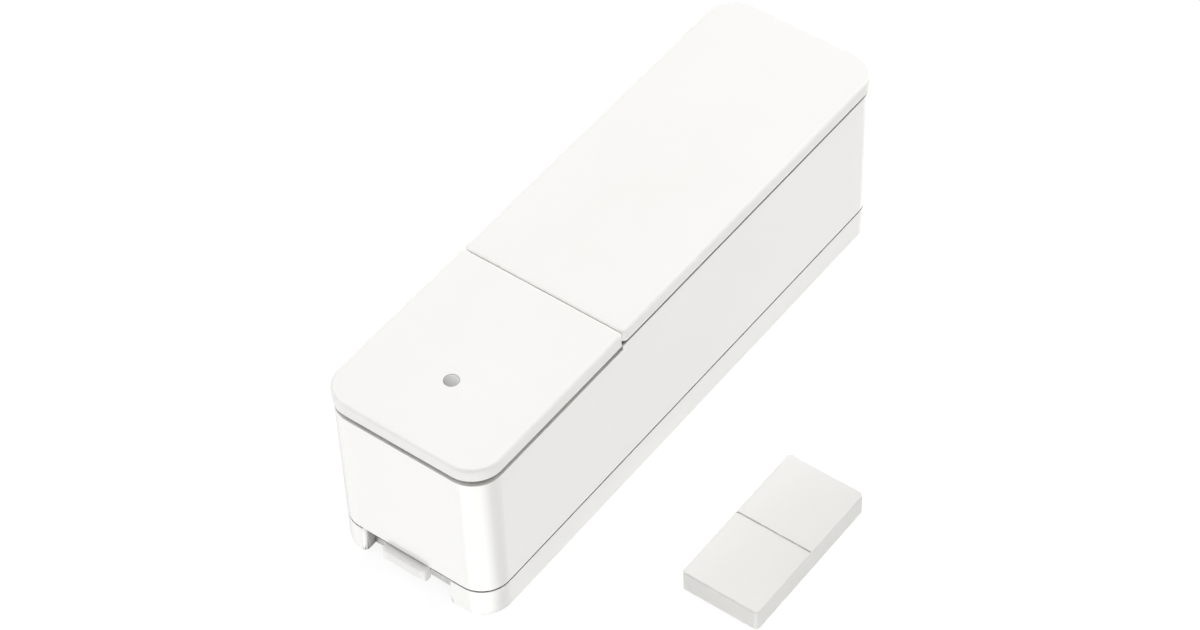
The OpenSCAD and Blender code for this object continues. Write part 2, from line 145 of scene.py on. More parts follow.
def polished_mould_abs():
    """White ABS from a polished mould: clear reflections, bent by shallow sink marks some 6 mm across."""
    # Strong painted shade darkens the gap under the button and the seams
    return shell_plastic("polished_mould_abs", light="#F7F6F3", dark="#F5F4F1", crevice_painted_shade="#6E6C69",
                         roughness=0.2, grain_mm=6, grain_depth_mm=0.006)


def wall_plate_abs():
    """The same polished ABS on the wall plate, with strong painted shade that darkens the deep notch all
    round its walls.
    """
    return shell_plastic("wall_plate_abs", light="#F7F6F3", dark="#F5F4F1", crevice_painted_shade="#4A4845",
                         roughness=0.2, grain_mm=6, grain_depth_mm=0.006, reach_mm=6.0, open_at=0.47)


def latch_abs():
    """The latch's ABS is one shade greyer and a little rubbed. Its painted shade stays faint right up to the
    housing.
    """
    return shell_plastic("latch_abs", light="#F0EFEC", dark="#EDECE9", crevice_painted_shade="#F4F3F0",
                         roughness=0.3, grain_mm=6, grain_depth_mm=0.006,
                         reach_mm=0.3, open_at=0.3, sheen=0.3)


def inner_abs():
    """Natural ABS of parts nobody sees: matt, a little yellow, with flow lines from the gate.

    The mould's fine grain is too small to show, so it is drawn at 0.25 mm.
    """
    material, tree = new_material("inner_abs")
    place = add(tree, "ShaderNodeTexCoord").outputs["Object"]
    flow = add(tree, "ShaderNodeTexNoise",
               {"Vector": place, "Scale": per_metre(7), "Detail": 4.0, "Distortion": 1.2})
    tint = add(tree, "ShaderNodeValToRGB", {"Fac": flow}, ramp=((0.3, "#DEDBD2"), (0.7, "#E8E5DD")))
    grain = add(tree, "ShaderNodeTexNoise", {"Vector": place, "Scale": per_metre(0.25), "Detail": 3.0})
    relief = add(tree, "ShaderNodeBump", {"Height": grain, "Strength": 1.0, "Distance": 0.008 * MM})
    shine = add(tree, "ShaderNodeMapRange", {"Value": flow, "To Min": 0.42, "To Max": 0.6})
    sockets = {"Base Color": tint, "Roughness": shine, "Normal": relief, "IOR": ABS_IOR}
    shader = add(tree, "ShaderNodeBsdfPrincipled", sockets)
    add(tree, "ShaderNodeOutputMaterial", {"Surface": shader})
    return material


def frosted_acrylic():
    """Moulded smoke-grey acrylic, fine-blasted on its face: a soft grey dot without a sharp gloss."""
    material, tree = new_material("frosted_acrylic")
    place = add(tree, "ShaderNodeTexCoord").outputs["Object"]
    split = add(tree, "ShaderNodeSeparateXYZ", {"Vector": place})
    low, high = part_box("light_guide")
    # Painted shade: the dot is drawn darker towards the button's free side, low Y
    painted_shade_across = add(tree, "ShaderNodeMapRange",
                 {"Value": split.outputs["Y"], "From Min": low.y, "From Max": high.y})
    cloud = add(tree, "ShaderNodeTexNoise", {"Vector": place, "Scale": per_metre(0.5), "Detail": 2.0})
    cloud_and_painted_shade = add(tree, "ShaderNodeMath", {0: cloud, 1: 0.12, 2: painted_shade_across}, operation="MULTIPLY_ADD")
    tint = add(tree, "ShaderNodeValToRGB", {"Fac": cloud_and_painted_shade}, ramp=((0.15, "#9C9D9C"), (0.95, "#D9DAD8")))
    relief = add(tree, "ShaderNodeBump", {"Height": cloud, "Strength": 0.6, "Distance": 0.01 * MM})
    sockets = {"Base Color": tint, "Normal": relief, "Roughness": 0.38, "IOR": 1.49}
    shader = add(tree, "ShaderNodeBsdfPrincipled", sockets)
    add(tree, "ShaderNodeOutputMaterial", {"Surface": shader})
    return material


# ---- Materials of the inner parts ----

def closed_cell_foam():
    """Polyethylene foam tape: pale, dull, with closed cells of about 0.25 mm showing on the cut sides."""
    material, tree = new_material("closed_cell_foam")
    place = add(tree, "ShaderNodeTexCoord").outputs["Object"]
    cells = add(tree, "ShaderNodeTexVoronoi", {"Vector": place, "Scale": per_metre(0.25)})
    tint = add(tree, "ShaderNodeValToRGB", {"Fac": cells}, ramp=((0.1, "#B9B8B4"), (0.6, "#DEDDD9")))
    relief = add(tree, "ShaderNodeBump", {"Height": cells, "Strength": 0.9, "Distance": 0.06 * MM})
    sockets = {"Base Color": tint, "Normal": relief, "Roughness": 0.85, "IOR": 1.5}
    shader = add(tree, "ShaderNodeBsdfPrincipled", sockets)
    add(tree, "ShaderNodeOutputMaterial", {"Surface": shader})
    return material


def glassine_liner():
    """Silicone-coated glassine paper: smooth, waxy, faintly mottled by its fibres."""
    material, tree = new_material("glassine_liner")
    place = add(tree, "ShaderNodeTexCoord").outputs["Object"]
    fibres = add(tree, "ShaderNodeTexNoise", {"Vector": place, "Scale": per_metre(0.8), "Detail": 5.0})
    tint = add(tree, "ShaderNodeValToRGB", {"Fac": fibres}, ramp=((0.35, "#D9C9A0"), (0.65, "#E6D9B6")))
    relief = add(tree, "ShaderNodeBump", {"Height": fibres, "Strength": 0.5, "Distance": 0.01 * MM})
    sockets = {"Base Color": tint, "Normal": relief, "Roughness": 0.3, "IOR": 1.47}
    shader = add(tree, "ShaderNodeBsdfPrincipled", sockets)
    add(tree, "ShaderNodeOutputMaterial", {"Surface": shader})
    return material


def rolled_metal(name, light, dark, roughness, streak_mm):
    """Plated metal: tone and shine vary in fine streaks left by rolling or drawing along Y.

    Real streaks are a few hundredths of a millimetre wide, too fine to show, so they are drawn wider.
    """
    material, tree = new_material(name)
    place = add(tree, "ShaderNodeTexCoord").outputs["Object"]
    stretched = add(tree, "ShaderNodeMapping", {"Vector": place, "Scale": (1.0, 0.06, 1.0)})
    streaks = add(tree, "ShaderNodeTexNoise",
                  {"Vector": stretched, "Scale": per_metre(streak_mm), "Detail": 4.0})
    tint = add(tree, "ShaderNodeValToRGB", {"Fac": streaks}, ramp=((0.3, dark), (0.7, light)))
    shine = add(tree, "ShaderNodeMapRange",
                {"Value": streaks, "To Min": roughness - 0.08, "To Max": roughness + 0.1})
    relief = add(tree, "ShaderNodeBump", {"Height": streaks, "Strength": 0.4, "Distance": 0.004 * MM})
    sockets = {"Base Color": tint, "Roughness": shine, "Normal": relief, "Metallic": 1.0}
    shader = add(tree, "ShaderNodeBsdfPrincipled", sockets)
    add(tree, "ShaderNodeOutputMaterial", {"Surface": shader})
    return material


def solder_mask():
    """Green mask over woven glass: the 0.5 mm weave shows faintly through a glossy, slightly uneven coat."""
    material, tree = new_material("solder_mask")
    place = add(tree, "ShaderNodeTexCoord").outputs["Object"]
    # At scale 1 a wave repeats every pi / 10
    scale = per_metre(0.5) * math.pi / 10
    warp = add(tree, "ShaderNodeTexWave", {"Vector": place, "Scale": scale}, bands_direction="X")
    weft = add(tree, "ShaderNodeTexWave", {"Vector": place, "Scale": scale}, bands_direction="Y")
    crossing = {0: warp.outputs["Fac"], 1: weft.outputs["Fac"]}
    weave = add(tree, "ShaderNodeMath", crossing, operation="MULTIPLY")
    tint = add(tree, "ShaderNodeValToRGB", {"Fac": weave}, ramp=((0.0, "#14502E"), (1.0, "#1C6539")))
    relief = add(tree, "ShaderNodeBump", {"Height": weave, "Strength": 0.4, "Distance": 0.006 * MM})
    sockets = {"Base Color": tint, "Normal": relief, "Roughness": 0.28, "IOR": 1.55}
    shader = add(tree, "ShaderNodeBsdfPrincipled", sockets)
    add(tree, "ShaderNodeOutputMaterial", {"Surface": shader})
    return material


def speckled(name, light, dark, speck_mm, roughness, coat=0.0):
    """A moulded or fired body whose filler shows as fine specks, drawn larger than real so that they show."""
    material, tree = new_material(name)
    place = add(tree, "ShaderNodeTexCoord").outputs["Object"]
    specks = add(tree, "ShaderNodeTexNoise", {"Vector": place, "Scale": per_metre(speck_mm), "Detail": 5.0})
    tint = add(tree, "ShaderNodeValToRGB", {"Fac": specks}, ramp=((0.35, dark), (0.65, light)))
    relief = add(tree, "ShaderNodeBump", {"Height": specks, "Strength": 0.6, "Distance": 0.01 * MM})
    shine = add(tree, "ShaderNodeMapRange",
                {"Value": specks, "To Min": roughness - 0.05, "To Max": roughness + 0.08})
    sockets = {"Base Color": tint, "Normal": relief, "Roughness": shine, "IOR": 1.55, "Coat Weight": coat}
    shader = add(tree, "ShaderNodeBsdfPrincipled", sockets)
    add(tree, "ShaderNodeOutputMaterial", {"Surface": shader})
    return material


def drawn_glass():
    """Borosilicate tube, drawn and flame-sealed: clear, faintly green, with long faint draw lines."""
    material, tree = new_material("drawn_glass")
    place = add(tree, "ShaderNodeTexCoord").outputs["Object"]
    stretched = add(tree, "ShaderNodeMapping", {"Vector": place, "Scale": (1.0, 0.05, 1.0)})
    lines = add(tree, "ShaderNodeTexNoise", {"Vector": stretched, "Scale": per_metre(0.4), "Detail": 2.0})
    tint = add(tree, "ShaderNodeValToRGB", {"Fac": lines}, ramp=((0.3, "#DDF0E8"), (0.7, "#EEF8F3")))
    relief = add(tree, "ShaderNodeBump", {"Height": lines, "Strength": 0.3, "Distance": 0.01 * MM})
    sockets = {"Base Color": tint, "Normal": relief, "Roughness": 0.04, "IOR": 1.47}
    sockets["Transmission Weight"] = 1.0
    shader = add(tree, "ShaderNodeBsdfPrincipled", sockets)
    add(tree, "ShaderNodeOutputMaterial", {"Surface": shader})
    return material


SHELL = spark_eroded_abs()
MAGNET_SHELL = grey_white_abs()
HOUSING = polished_mould_abs()
PLATE = wall_plate_abs()
LATCH = latch_abs()
INNER = inner_abs()
LENS = frosted_acrylic()
FOAM = closed_cell_foam()
LINER = glassine_liner()
BOARD = solder_mask()
GLASS = drawn_glass()
# Zinc plate on the screws is bluish and bright, with a fine drawn grain
ZINC = rolled_metal("zinc_plated_steel", "#C4C8CC", "#9DA2A8", 0.32, 0.15)
# Hot-dipped tin is whiter and duller than zinc
TIN = rolled_metal("tin_plated_steel", "#CFCFCB", "#AEAEA9", 0.36, 0.2)
# Nickel on spring strip is warm and glossy
NICKEL_STRIP = rolled_metal("nickel_plated_strip", "#D2C8B4", "#B3A78F", 0.24, 0.12)
# The cell's deep-drawn can carries long draw marks
CELL_STEEL = rolled_metal("drawn_cell_steel", "#CDCECF", "#A6A8AA", 0.26, 0.3)
# Nickel on a sintered magnet is darker and slightly pitted
MAGNET_NICKEL = rolled_metal("nickel_plated_magnet", "#A5A6A8", "#85868A", 0.3, 0.4)
# Gold flash on bare copper pads
GOLD_FLASH = rolled_metal("gold_flashed_copper", "#E0BE72", "#C49F55", 0.3, 0.2)
# Moulded epoxy is black with pale silica filler
EPOXY = speckled("moulded_epoxy", "#2B2B2D", "#1C1C1E", 0.12, 0.5)
# Barium titanate fires to a dull tan
CERAMIC = speckled("fired_ceramic", "#B4946A", "#9A7B54", 0.1, 0.45)
# The antenna's glass-ceramic is ivory with a thin glaze
ANTENNA_CERAMIC = speckled("glazed_antenna_ceramic", "#E4DECB", "#D4CCB4", 0.2, 0.35, coat=0.4)
# Phosphor in clear silicone reads as dense yellow
PHOSPHOR = speckled("phosphor_silicone", "#EBD87B", "#DFC65D", 0.08, 0.25, coat=0.6)
# Acetal plunger: dark brown and waxy
ACETAL = speckled("moulded_acetal", "#5A3420", "#4A2918", 0.3, 0.35)
# Wound foil and separator seen edge on: near-black with pale turns
WOUND_FOIL = speckled("wound_foil", "#6A6A6C", "#2F2F31", 0.15, 0.5)
# Heat-shrunk film: blue, glossy, with the haze of its shrinking
SHRUNK_FILM = speckled("shrunk_film", "#3E6C9C", "#315A86", 2.5, 0.22, coat=0.5)


# ---- Mesh helpers, in millimetres ----

def object_of(name, shape):
    """Turns a bmesh into an object in the scene."""
    mesh = bpy.data.meshes.new(name)
    shape.to_mesh(mesh)
    shape.free()
    made = bpy.data.objects.new(name, mesh)
    scene.collection.objects.link(made)
    return made


def new_piece(name, shape, material, node):
    """Makes an object of a bmesh; it rides on the CAD node's body and takes the given material."""
    bmesh.ops.recalc_face_normals(shape, faces=shape.faces)
    for face in shape.faces:
        face.smooth = True
    piece = object_of(name, shape)
    piece.data.materials.append(material)
    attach(piece, body_of_node[node])
    return piece


def soften(piece, radius_mm, steps=2):
    """Gives a sharp-edged piece its small mould or bend radius."""
    weld = piece.modifiers.new("join", "WELD")
    weld.merge_threshold = 0.001 * MM
    bevel = piece.modifiers.new("radius", "BEVEL")
    bevel.width = radius_mm * MM
    bevel.segments = steps
    bevel.limit_method = "ANGLE"
    bevel.angle_limit = math.radians(35)
    bevel.harden_normals = True
    normals = piece.modifiers.new("normals", "WEIGHTED_NORMAL")
    normals.keep_sharp = True


def skin(shape, rings, caps=True):
    """Skins a stack of rings, each a list of points in millimetres, and closes its two ends."""
    rows = [[shape.verts.new(Vector(point) * MM) for point in ring] for ring in rings]
    for low, high in zip(rows, rows[1:]):
        for k in range(len(low)):
            shape.faces.new((low[k - 1], low[k], high[k], high[k - 1]))
    if caps:
        shape.faces.new(rows[0][::-1])
        shape.faces.new(rows[-1])


def round_outline(width, length, radius, steps=6):
    """Points round a rectangle with round corners, about the origin."""
    points = []
    for turn, (sx, sy) in enumerate(((1, 1), (-1, 1), (-1, -1), (1, -1))):
        for step in range(steps + 1):
            angle = math.pi / 2 * (turn + step / steps)
            x = sx * (width / 2 - radius) + radius * math.cos(angle)
            y = sy * (length / 2 - radius) + radius * math.sin(angle)
            points.append((x, y))
    return points


def quarter_turn(steps):
    """Angles from nothing to a quarter turn, in radians."""
    return [math.pi / 2 * step / steps for step in range(steps + 1)]


def soft_block(shape, low, high, corner, edge, bulge=0.0):
    """Block between two corners with round upright corners, rounded edges and sides that may bulge."""
    (x0, y0, z0), (x1, y1, z1) = low, high
    straight = z1 - z0 - 2 * edge
    levels = [(edge * (1 - math.sin(a)), z0 + edge * (1 - math.cos(a))) for a in quarter_turn(4)]
    levels += [(-bulge * math.sin(math.pi * t), z0 + edge + t * straight) for t in (0.25, 0.5, 0.75)]
    levels += [(edge * (1 - math.cos(a)), z1 - edge * (1 - math.sin(a))) for a in quarter_turn(4)]
    middle_x, middle_y = (x0 + x1) / 2, (y0 + y1) / 2
    rings = []
    for inset, z in levels:
        outline = round_outline(x1 - x0 - 2 * inset, y1 - y0 - 2 * inset, max(corner - inset, 0.01))
        rings.append([(middle_x + x, middle_y + y, z) for x, y in outline])
    skin(shape, rings)


def turned(shape, profile, start, axis="Z", steps=48):
    """Turns a profile of (distance along the axis, radius) points about an axis through start."""
    frames = {"Z": ((1, 0, 0), (0, 1, 0), (0, 0, 1)), "Y": ((0, 0, 1), (1, 0, 0), (0, 1, 0))}
    side, up, along = (Vector(v) for v in frames[axis])
    rings = []
    angles = [2 * math.pi * k / steps for k in range(steps)]
    for distance, radius in profile:
        centre = Vector(start) + along * distance
        rings.append([centre + radius * (side * math.cos(a) + up * math.sin(a)) for a in angles])
    skin(shape, rings)


def swept(shape, points, radius, steps=10):
    """A round wire along a list of points."""
    angles = [2 * math.pi * j / steps for j in range(steps)]
    rings = []
    for k, point in enumerate(points):
        ahead = (Vector(points[min(k + 1, len(points) - 1)]) - Vector(points[max(k - 1, 0)])).normalized()
        side = ahead.cross(Vector((1, 0, 0))).normalized()
        up = side.cross(ahead)
        rings.append([Vector(point) + radius * (side * math.cos(a) + up * math.sin(a)) for a in angles])
    skin(shape, rings)


def box_mm(node):
    """A CAD node's lowest and highest corners in millimetres."""
    low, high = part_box(node)
    return low / MM, high / MM


# ---- Adhesive pads ----

def foam_pad(name, node, centre, size, cloud_and_painted_shade):
    """Die-cut foam with round corners and slightly bulging sides, and its paper liner underneath."""
    liner_t = 0.06
    foam_inset, liner_inset = 0.15, 0.05
    (x, y), (width, length) = centre, size
    shape = bmesh.new()
    low = (x - width / 2 + foam_inset, y - length / 2 + foam_inset, liner_t)
    high = (x + width / 2 - foam_inset, y + length / 2 - foam_inset, cloud_and_painted_shade - 0.01)
    soft_block(shape, low, high, corner=1.2, edge=0.05, bulge=0.1)
    pad = new_piece(name, shape, FOAM, node)
    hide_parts(node)
    shape = bmesh.new()
    low = (x - width / 2 + liner_inset, y - length / 2 + liner_inset, 0.005)
    high = (x + width / 2 - liner_inset, y + length / 2 - liner_inset, liner_t)
    soft_block(shape, low, high, corner=1.3, edge=0.02)
    new_piece(name + "_liner", shape, LINER, node)


def make_pads():
    """Two square pads in the wall plate's back and one under the magnet block."""
    low, high = box_mm("plate_adhesive_pads")
    width = high.x - low.x
    for name, y in (("lower_foam_pad", low.y + width / 2), ("upper_foam_pad", high.y - width / 2)):
        foam_pad(name, "plate_adhesive_pads", (0, y), (width, width), high.z)
    low, high = box_mm("magnet_adhesive_pad")
    centre = ((low.x + high.x) / 2, (low.y + high.y) / 2)
    foam_pad("magnet_foam_pad", "magnet_adhesive_pad", centre, (high.x - low.x, high.y - low.y), high.z)


# ---- Screws ----

def thread(shape, centre, bottom, top, core, crest, pitch):
    """A triangular ridge wound round the shank, running out at both ends."""
    steps_per_turn = 20
    # Half the ridge's foot as a share of the pitch, and how soon the ridge rises to its full height
    foot, run_out = 0.3, 0.3
    count = round((top - bottom) / pitch * steps_per_turn)
    rings = []
    for k in range(count + 1):
        angle = 2 * math.pi * k / steps_per_turn
        rise = math.sin(math.pi * k / count) ** run_out
        height = bottom + k / steps_per_turn * pitch
        ring = []
        for radius, lift in ((core, -foot), (core + (crest - core) * rise, 0), (core, foot)):
            point = (radius * math.cos(angle), radius * math.sin(angle), height + lift * pitch)
            ring.append(Vector(centre) + Vector(point))
        rings.append(ring)
    skin(shape, rings)


def make_screws():
    """Pan heads with cross recesses, and cut threads, in the places of the CAD screws."""
    low, high = box_mm("chassis_screws")
    head_r, head_t, shank_r = 1.6, 1.05, 0.84
    root_r, crest_r, pitch, plain = shank_r - 0.04, 0.92, 0.7, 0.3
    length = high.z - low.z
    corner_x = (low.x + head_r, high.x - head_r)
    corner_y = (low.y + head_r, high.y - head_r)
    places = [(x, y) for x in corner_x for y in corner_y]
    head = [(0, 0.95), (0.12, 1.25), (0.35, 1.5), (0.6, head_r)]
    head += [(head_t - 0.08, head_r), (head_t, head_r - 0.08)]
    shank = [(head_t - 0.01, shank_r), (length - 0.5, shank_r), (length, 0.35)]
    shape = bmesh.new()
    for x, y in places:
        turned(shape, head, (x, y, low.z), steps=32)
        turned(shape, shank, (x, y, low.z), steps=24)
        thread(shape, (x, y, 0), low.z + head_t + plain, high.z - plain, root_r, crest_r, pitch)
    screws = new_piece("pan_head_screws", shape, ZINC, "chassis_screws")
    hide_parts("chassis_screws")
    cut_away(screws, cross_recesses(places, low.z))
    soften(screws, 0.03, steps=1)


def cross_recesses(places, face_z):
    """The crosses to cut out of the screw heads, which face down."""
    reach, slot, cloud_and_painted_shade = 1.9, 0.42, 0.55
    shape = bmesh.new()
    for x, y in places:
        for width, length in ((reach, slot), (slot, reach)):
            low = (x - width / 2, y - length / 2, face_z - 0.3)
            high = (x + width / 2, y + length / 2, face_z + cloud_and_painted_shade)
            soft_block(shape, low, high, corner=0.12, edge=0.05)
    return shape


def cut_away(piece, shape):
    """Cuts a bmesh out of a piece for good."""
    tool = object_of("recess_tool", shape)
    cut = piece.modifiers.new("recess", "BOOLEAN")
    cut.operation = "DIFFERENCE"
    cut.solver = "EXACT"
    cut.use_self = True
    cut.object = tool
    bpy.context.view_layer.update()
    evaluated = piece.evaluated_get(bpy.context.evaluated_depsgraph_get())
    finished = bpy.data.meshes.new_from_object(evaluated)
    piece.modifiers.clear()
    piece.data = finished
    bpy.data.objects.remove(tool)


# ---- Circuit board and what is soldered to it ----

def make_capacitors():
    """Fired ceramic chips with tin-dipped ends, in the two rows that the CAD node holds."""
    low, high = box_mm("board_capacitors")
    ceramic, tin = bmesh.new(), bmesh.new()
    spacing = 2.4
    small, large = (1.0, 1.9, 0.8), (1.2, 2.0, 0.9)
    chips = [(-6 + spacing * k, low.y + small[1] / 2, small) for k in range(6)]
    chips += [(-3.6 + spacing * k, high.y - large[1] / 2, large) for k in range(4)]
    for x, y, (width, length, height) in chips:
        cap = 0.25 * length
        body_low = (x - width / 2 + 0.03, y - length / 2 + 0.1, low.z + 0.03)
        body_high = (x + width / 2 - 0.03, y + length / 2 - 0.1, low.z + height - 0.03)
        soft_block(ceramic, body_low, body_high, corner=0.06, edge=0.05)
        for end in (-1, 1):
            middle = y + end * (length / 2 - cap / 2)
            cap_low = (x - width / 2, middle - cap / 2, low.z)
            cap_high = (x + width / 2, middle + cap / 2, low.z + height)
            soft_block(tin, cap_low, cap_high, corner=0.1, edge=0.08)
    chip_bodies = new_piece("capacitor_bodies", ceramic, CERAMIC, "board_capacitors")
    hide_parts("board_capacitors")
    new_piece("capacitor_ends", tin, TIN, "board_capacitors")


def make_antenna():
    """Glazed ceramic bar with a tin-plated foot at each end."""
    low, high = box_mm("chip_antenna")
    shape = bmesh.new()
    bar_low, bar_high = low + Vector((0.1, 0.04, 0.03)), high - Vector((0.1, 0.04, 0.02))
    soft_block(shape, bar_low, bar_high, corner=0.15, edge=0.1)
    bar = new_piece("antenna_bar", shape, ANTENNA_CERAMIC, "chip_antenna")
    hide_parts("chip_antenna")
    shape = bmesh.new()
    foot = 0.9
    soft_block(shape, low, (low.x + foot, high.y, high.z), corner=0.12, edge=0.08)
    soft_block(shape, (high.x - foot, low.y, low.z), high, corner=0.12, edge=0.08)
    new_piece("antenna_feet", shape, TIN, "chip_antenna")


def make_lamp():
    """White housing of the status lamp with a domed window of phosphor silicone and two tin ends."""
    low, high = box_mm("status_led")
    shape = bmesh.new()
    inset = 0.25
    soft_block(shape, (low.x + inset, low.y, low.z), (high.x - inset, high.y, high.z - 0.12),
               corner=0.08, edge=0.06)
    lamp = new_piece("lamp_frame", shape, ANTENNA_CERAMIC, "status_led")
    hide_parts("status_led")
    shape = bmesh.new()
    middle = (low + high) / 2
    dome_h = 0.26
    dome = [(0, 0.5), (0.14, 0.48), (0.2, 0.42), (0.24, 0.3), (dome_h, 0.08)]
    turned(shape, dome, (middle.x, middle.y, high.z - dome_h), steps=32)
    new_piece("lamp_window", shape, PHOSPHOR, "status_led")
    shape = bmesh.new()
    foot, foot_h = 0.4, 0.35
    for end in (low.x, high.x - foot):
        soft_block(shape, (end, low.y + 0.05, low.z), (end + foot, high.y - 0.05, low.z + foot_h),
                   corner=0.08, edge=0.06)
    new_piece("lamp_feet", shape, TIN, "status_led")


def make_reed_parts():
    """The reed switch's bent leads and the two blades inside the glass."""
    low, high = box_mm("reed_leads")
    glass_low, glass_high = box_mm("reed_glass")
    x, z = (glass_low.x + glass_high.x) / 2, (glass_low.z + glass_high.z) / 2
    middle = (low.y + high.y) / 2
    lead_r = (high.x - low.x) / 2
    bend_r = 0.5
    blade_w, blade_t, blade_gap = 0.9, 0.14, 0.24
    wire, blades = bmesh.new(), bmesh.new()
    for s in (-1, 1):
        corner = (high.y - middle) - lead_r
        points = [(x, middle + s * ((glass_high.y - middle) - 0.8), z)]
        for a in quarter_turn(5):
            y = corner - bend_r * (1 - math.sin(a))
            points.append((x, middle + s * y, z + bend_r * (1 - math.cos(a))))
        points.append((x, middle + s * corner, high.z))
        swept(wire, points, lead_r)
        # Each blade is a flattened lead that reaches just past the middle, a hair apart from the other
        tip, root = -0.7, (glass_high.y - middle) - 0.7
        near_y, far_y = sorted((middle + s * tip, middle + s * root))
        height = z + s * blade_gap / 2
        soft_block(blades, (x - blade_w / 2, near_y, height - blade_t / 2),
                   (x + blade_w / 2, far_y, height + blade_t / 2), corner=0.1, edge=0.03)
    leads = new_piece("reed_wires", wire, TIN, "reed_leads")
    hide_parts("reed_leads")
    new_piece("reed_blades", blades, NICKEL_STRIP, "reed_leads")


# Spacing of the board's test pads, and of the traces that start at them
PAD_SPACING = 2.5


def make_test_pads():
    """Two rows of gold-flashed test pads on the board's underside, which shows in the chassis window."""
    face_z = box_mm("circuit_board")[0].z
    disc = [(-0.02, 0.45), (-0.02, 0.5), (0.01, 0.5)]
    pads = bmesh.new()
    for first_x, y, count in ((-5, -30, 5), (-2.5, -33, 3)):
        for k in range(count):
            turned(pads, disc, (first_x + PAD_SPACING * k, y, face_z), steps=24)
    new_piece("board_test_pads", pads, GOLD_FLASH, "circuit_board")


def make_solder_joints():
    """Solder cones under the push switch's four legs and the reed switch's two leads."""
    face_z = box_mm("circuit_board")[0].z
    switch_low, switch_high = box_mm("switch_body")
    reed_low, reed_high = box_mm("reed_leads")
    reed_x = (reed_low.x + reed_high.x) / 2
    leg_x = (switch_low.x + 0.4, switch_high.x - 0.4)
    leg_y = (switch_low.y + 0.7, switch_high.y - 0.7)
    joints = [(x, y) for x in leg_x for y in leg_y]
    joints += [(reed_x, reed_low.y + 0.25), (reed_x, reed_high.y - 0.25)]
    cone = [(-0.55, 0.18), (-0.4, 0.3), (-0.2, 0.45), (-0.06, 0.68), (0.01, 0.75)]
    solder = bmesh.new()
    for x, y in joints:
        turned(solder, cone, (x, y, face_z), steps=24)
    new_piece("solder_joints", solder, TIN, "circuit_board")


def make_traces():
    """Copper under the mask: a raised line from each pad of the longer row to a round via."""
    face_z = box_mm("circuit_board")[0].z
    line_w, via_w, start_y = 0.24, 0.6, -29.6
    bottom, top = face_z - 0.03, face_z + 0.01
    traces = bmesh.new()
    for k in range(5):
        x = -5 + PAD_SPACING * k
        end_y = -21 + 1.2 * abs(k - 2)
        soft_block(traces, (x - line_w / 2, start_y, bottom), (x + line_w / 2, end_y, top),
                   corner=0.1, edge=0.01)
        soft_block(traces, (x - via_w / 2, end_y - via_w / 2, bottom),
                   (x + via_w / 2, end_y + via_w / 2, top), corner=0.28, edge=0.01)
    new_piece("board_traces", traces, BOARD, "circuit_board")


# ---- Battery ----

def make_cell_can():
    """Deep-drawn can with a dished bottom, a rolled groove and a crimped shoulder."""
    low, high = box_mm("battery_can")
    can_r = (high.x - low.x) / 2
    length = high.y - low.y
    start = ((low.x + high.x) / 2, low.y, (low.z + high.z) / 2)
    groove = length - 2.1
    profile = [(0.12, 2.5), (0.12, 4.6), (0, 5.0), (0, can_r - 0.5), (0.15, can_r - 0.15), (0.5, can_r)]
    profile += [(groove - 0.3, can_r), (groove, can_r - 0.12), (groove + 0.3, can_r), (length - 0.5, can_r)]
    profile += [(length - 0.15, can_r - 0.15), (length, can_r - 0.5), (length, 5.2), (length - 0.3, 4.9)]
    shape = bmesh.new()
    turned(shape, profile, start, axis="Y", steps=96)
    can = new_piece("crimped_can", shape, CELL_STEEL, "battery_can")
    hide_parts("battery_can")


def make_cell_film():
    """Shrunk film round the can, which folds over both its ends and ruffles at the folded edge."""
    can_low, can_high = box_mm("battery_can")
    middle_x, middle_z = (can_low.x + can_high.x) / 2, (can_low.z + can_high.z) / 2
    low, high = box_mm("battery_sleeve")
    film_r = (high.x - low.x) / 2
    far = high.y - low.y
    edge_r, ruffled, ruffle_h = 6.6, 0.9, 0.14
    fold = [(-0.36, edge_r), (-0.38, 7.3), (-0.3, film_r - 0.25), (0, film_r - 0.04), (0.8, film_r)]
    fold += [(far * t, film_r) for t in (0.25, 0.5, 0.75)]
    fold += [(far - 0.8, film_r), (far, film_r - 0.04)]
    fold += [(far + 0.3, film_r - 0.25), (far + 0.38, 7.3), (far + 0.36, edge_r)]
    steps = 120
    rings = []
    for distance, radius in fold:
        folded = max(0.0, 1 - (radius - edge_r) / ruffled)
        ring = []
        for k in range(steps):
            a = 2 * math.pi * k / steps
            spot = Vector((4 * math.cos(a), 4 * math.sin(a), distance))
            reach = radius + ruffle_h * folded * noise.noise(spot)
            ring.append((middle_x + reach * math.cos(a), low.y + distance, middle_z + reach * math.sin(a)))
        rings.append(ring)
    shape = bmesh.new()
    skin(shape, rings, caps=False)
    film = new_piece("shrunk_film_sleeve", shape, SHRUNK_FILM, "battery_sleeve")
    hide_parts("battery_sleeve")
    thickness = film.modifiers.new("film", "SOLIDIFY")
    thickness.thickness = 0.08 * MM
    thickness.offset = -1


def make_cell_terminal():
    """The cell's positive cap with its rounded rim, and the black gasket that holds it in the can."""
    low, high = box_mm("battery_terminal")
    cap_r = (high.x - low.x) / 2
    start = ((low.x + high.x) / 2, low.y - 0.35, (low.z + high.z) / 2)
    height = high.y - start[1]
    profile = [(0, cap_r), (height - 0.25, cap_r), (height - 0.08, cap_r - 0.08)]
    profile += [(height, cap_r - 0.3), (height, 0.8)]
    shape = bmesh.new()
    turned(shape, profile, start, axis="Y", steps=64)
    terminal = new_piece("domed_terminal", shape, CELL_STEEL, "battery_terminal")
    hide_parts("battery_terminal")
    shape = bmesh.new()
    gasket = [(0, 3.35), (0.2, 3.4), (0.3, 3.7), (0.3, 4.5), (0.2, 4.85), (0, 5.0)]
    turned(shape, gasket, start, axis="Y", steps=64)
    new_piece("terminal_gasket", shape, EPOXY, "battery_terminal")


# ---- Finishes of the CAD nodes that stay ----

